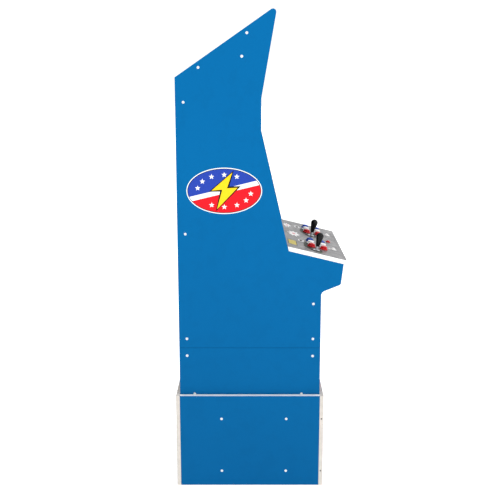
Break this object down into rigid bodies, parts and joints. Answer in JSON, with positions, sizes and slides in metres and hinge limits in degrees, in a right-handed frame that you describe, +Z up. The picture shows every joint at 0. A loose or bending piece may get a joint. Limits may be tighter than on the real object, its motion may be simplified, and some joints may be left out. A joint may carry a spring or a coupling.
{
  "type": "arcade cabinet",
  "caption": "Stand-up two-player arcade cabinet on a riser: sloped control deck, two bat-top joysticks, push buttons, recessed screen, speakers and marquee.",
  "frame": {"origin": "on the floor under the middle of the bounding box", "axes": "+Z up; the player stands at -Y and looks along +Y; +X is the player's right"},
  "size_m": [0.515, 0.525, 1.468],
  "materials": {
    "blue_panels": "satin blue vinyl on fibreboard",
    "printed_panels": "satin printed vinyl on fibreboard",
    "white_edge_panels": "satin printed face with white edges",
    "raw_board": "raw fibreboard",
    "black_board": "matte black",
    "deck_print": "printed sheet under a clear protector",
    "marquee": "back-lit printed acrylic",
    "clear_sheet": "clear, polished",
    "black_plastic": "fine-grained black",
    "black_metal": "black powder coat",
    "light_bar": "white diffuser",
    "steel": "zinc plated",
    "screws": "white painted heads",
    "stick_base": "moulded black",
    "switches": "moulded dark grey",
    "cables": "black insulation",
    "grip": "glossy black",
    "red_plastic": "glossy red",
    "white_plastic": "glossy white",
    "blue_plastic": "glossy blue",
    "slider_plastic": "light grey"
  },
  "bodies": {
    "cabinet": {"left_side_upper": "blue_panels", "left_side_lower": "blue_panels", "right_side_upper": "blue_panels", "right_side_lower": "blue_panels", "back_panel": "black_board", "kick_panel": "printed_panels", "bottom_board": "raw_board", "top_panel": "printed_panels", "speaker_board": "black_board", "marquee_panel": "marquee", "marquee_retainers": "black_metal", "marquee_light_bar": "light_bar", "speakers": "black_plastic", "screen_bezel": "black_plastic", "screen_cover": "clear_sheet", "monitor": "black_plastic", "monitor_rails": "steel", "control_deck": "white_edge_panels", "deck_overlay": "deck_print", "deck_front_panel": "printed_panels", "deck_floor_panel": "printed_panels", "main_board_case": "black_plastic", "dc_inlet": "black_plastic", "wiring_harness": "cables", "coin_door": "black_plastic", "riser_left_panel": "blue_panels", "riser_right_panel": "blue_panels", "riser_front_panel": "white_edge_panels", "riser_back_panel": "white_edge_panels", "riser_cross_boards": "raw_board", "panel_screws": "screws", "joystick_housings": "stick_base", "microswitches": "switches", "slide_switch_bodies": "black_plastic", "button_rims_red": "red_plastic", "button_rims_white": "white_plastic", "button_rims_blue": "blue_plastic"},
    "joystick_1_ring_body": {"joystick_1_ring": "steel"},
    "joystick_1_stick_body": {"joystick_1_shaft": "steel", "joystick_1_bat": "grip"},
    "joystick_2_ring_body": {"joystick_2_ring": "steel"},
    "joystick_2_stick_body": {"joystick_2_shaft": "steel", "joystick_2_bat": "grip"},
    "power_slider_body": {"power_slider": "slider_plastic"},
    "volume_slider_body": {"volume_slider": "slider_plastic"},
    "p1_red_back_body": {"p1_red_back": "red_plastic"},
    "p1_white_back_body": {"p1_white_back": "white_plastic"},
    "p1_blue_back_body": {"p1_blue_back": "blue_plastic"},
    "p1_red_front_body": {"p1_red_front": "red_plastic"},
    "p1_white_front_body": {"p1_white_front": "white_plastic"},
    "p1_blue_front_body": {"p1_blue_front": "blue_plastic"},
    "p2_red_back_body": {"p2_red_back": "red_plastic"},
    "p2_white_back_body": {"p2_white_back": "white_plastic"},
    "p2_blue_back_body": {"p2_blue_back": "blue_plastic"},
    "p2_red_front_body": {"p2_red_front": "red_plastic"},
    "p2_white_front_body": {"p2_white_front": "white_plastic"},
    "p2_blue_front_body": {"p2_blue_front": "blue_plastic"},
    "p1_start_body": {"p1_start": "white_plastic"},
    "p2_start_body": {"p2_start": "white_plastic"},
    "centre_button_body": {"centre_button": "red_plastic"}
  },
  "joints": [
    {"name": "joystick_1_forward_back", "type": "hinge", "parent": "cabinet", "child": "joystick_1_ring_body", "pos_m": [-0.2, -0.16843, 0.73439], "axis": [1, 0, 0], "range_deg": [-10, 10], "stiffness_Nm_per_rad": 1},
    {"name": "joystick_1_left_right", "type": "hinge", "parent": "joystick_1_ring_body", "child": "joystick_1_stick_body", "pos_m": [-0.2, -0.16843, 0.73439], "axis": [0, 0.972, 0.2351], "range_deg": [-10, 10], "stiffness_Nm_per_rad": 1},
    {"name": "joystick_2_forward_back", "type": "hinge", "parent": "cabinet", "child": "joystick_2_ring_body", "pos_m": [0.041, -0.16843, 0.73439], "axis": [1, 0, 0], "range_deg": [-10, 10], "stiffness_Nm_per_rad": 1},
    {"name": "joystick_2_left_right", "type": "hinge", "parent": "joystick_2_ring_body", "child": "joystick_2_stick_body", "pos_m": [0.041, -0.16843, 0.73439], "axis": [0, 0.972, 0.2351], "range_deg": [-10, 10], "stiffness_Nm_per_rad": 1},
    {"name": "p1_red_back_press", "type": "slide", "parent": "cabinet", "child": "p1_red_back_body", "axis": [0, 0.2351, -0.972], "range_m": [0, 0.0035], "stiffness_N_per_m": 200, "springref_m": -0.004},
    {"name": "p1_white_back_press", "type": "slide", "parent": "cabinet", "child": "p1_white_back_body", "axis": [0, 0.2351, -0.972], "range_m": [0, 0.0035], "stiffness_N_per_m": 200, "springref_m": -0.004},
    {"name": "p1_blue_back_press", "type": "slide", "parent": "cabinet", "child": "p1_blue_back_body", "axis": [0, 0.2351, -0.972], "range_m": [0, 0.0035], "stiffness_N_per_m": 200, "springref_m": -0.004},
    {"name": "p1_red_front_press", "type": "slide", "parent": "cabinet", "child": "p1_red_front_body", "axis": [0, 0.2351, -0.972], "range_m": [0, 0.0035], "stiffness_N_per_m": 200, "springref_m": -0.004},
    {"name": "p1_white_front_press", "type": "slide", "parent": "cabinet", "child": "p1_white_front_body", "axis": [0, 0.2351, -0.972], "range_m": [0, 0.0035], "stiffness_N_per_m": 200, "springref_m": -0.004},
    {"name": "p1_blue_front_press", "type": "slide", "parent": "cabinet", "child": "p1_blue_front_body", "axis": [0, 0.2351, -0.972], "range_m": [0, 0.0035], "stiffness_N_per_m": 200, "springref_m": -0.004},
    {"name": "p2_red_back_press", "type": "slide", "parent": "cabinet", "child": "p2_red_back_body", "axis": [0, 0.2351, -0.972], "range_m": [0, 0.0035], "stiffness_N_per_m": 200, "springref_m": -0.004},
    {"name": "p2_white_back_press", "type": "slide", "parent": "cabinet", "child": "p2_white_back_body", "axis": [0, 0.2351, -0.972], "range_m": [0, 0.0035], "stiffness_N_per_m": 200, "springref_m": -0.004},
    {"name": "p2_blue_back_press", "type": "slide", "parent": "cabinet", "child": "p2_blue_back_body", "axis": [0, 0.2351, -0.972], "range_m": [0, 0.0035], "stiffness_N_per_m": 200, "springref_m": -0.004},
    {"name": "p2_red_front_press", "type": "slide", "parent": "cabinet", "child": "p2_red_front_body", "axis": [0, 0.2351, -0.972], "range_m": [0, 0.0035], "stiffness_N_per_m": 200, "springref_m": -0.004},
    {"name": "p2_white_front_press", "type": "slide", "parent": "cabinet", "child": "p2_white_front_body", "axis": [0, 0.2351, -0.972], "range_m": [0, 0.0035], "stiffness_N_per_m": 200, "springref_m": -0.004},
    {"name": "p2_blue_front_press", "type": "slide", "parent": "cabinet", "child": "p2_blue_front_body", "axis": [0, 0.2351, -0.972], "range_m": [0, 0.0035], "stiffness_N_per_m": 200, "springref_m": -0.004},
    {"name": "p1_start_press", "type": "slide", "parent": "cabinet", "child": "p1_start_body", "axis": [0, 0.2351, -0.972], "range_m": [0, 0.002], "stiffness_N_per_m": 200, "springref_m": -0.003},
    {"name": "p2_start_press", "type": "slide", "parent": "cabinet", "child": "p2_start_body", "axis": [0, 0.2351, -0.972], "range_m": [0, 0.002], "stiffness_N_per_m": 200, "springref_m": -0.003},
    {"name": "centre_button_press", "type": "slide", "parent": "cabinet", "child": "centre_button_body", "axis": [0, 0.2351, -0.972], "range_m": [0, 0.002], "stiffness_N_per_m": 200, "springref_m": -0.003},
    {"name": "power_slide", "type": "slide", "parent": "cabinet", "child": "power_slider_body", "axis": [1, 0, 0], "range_m": [0, 0.004]},
    {"name": "volume_slide", "type": "slide", "parent": "cabinet", "child": "volume_slider_body", "axis": [1, 0, 0], "range_m": [0, 0.004]}
  ]
}
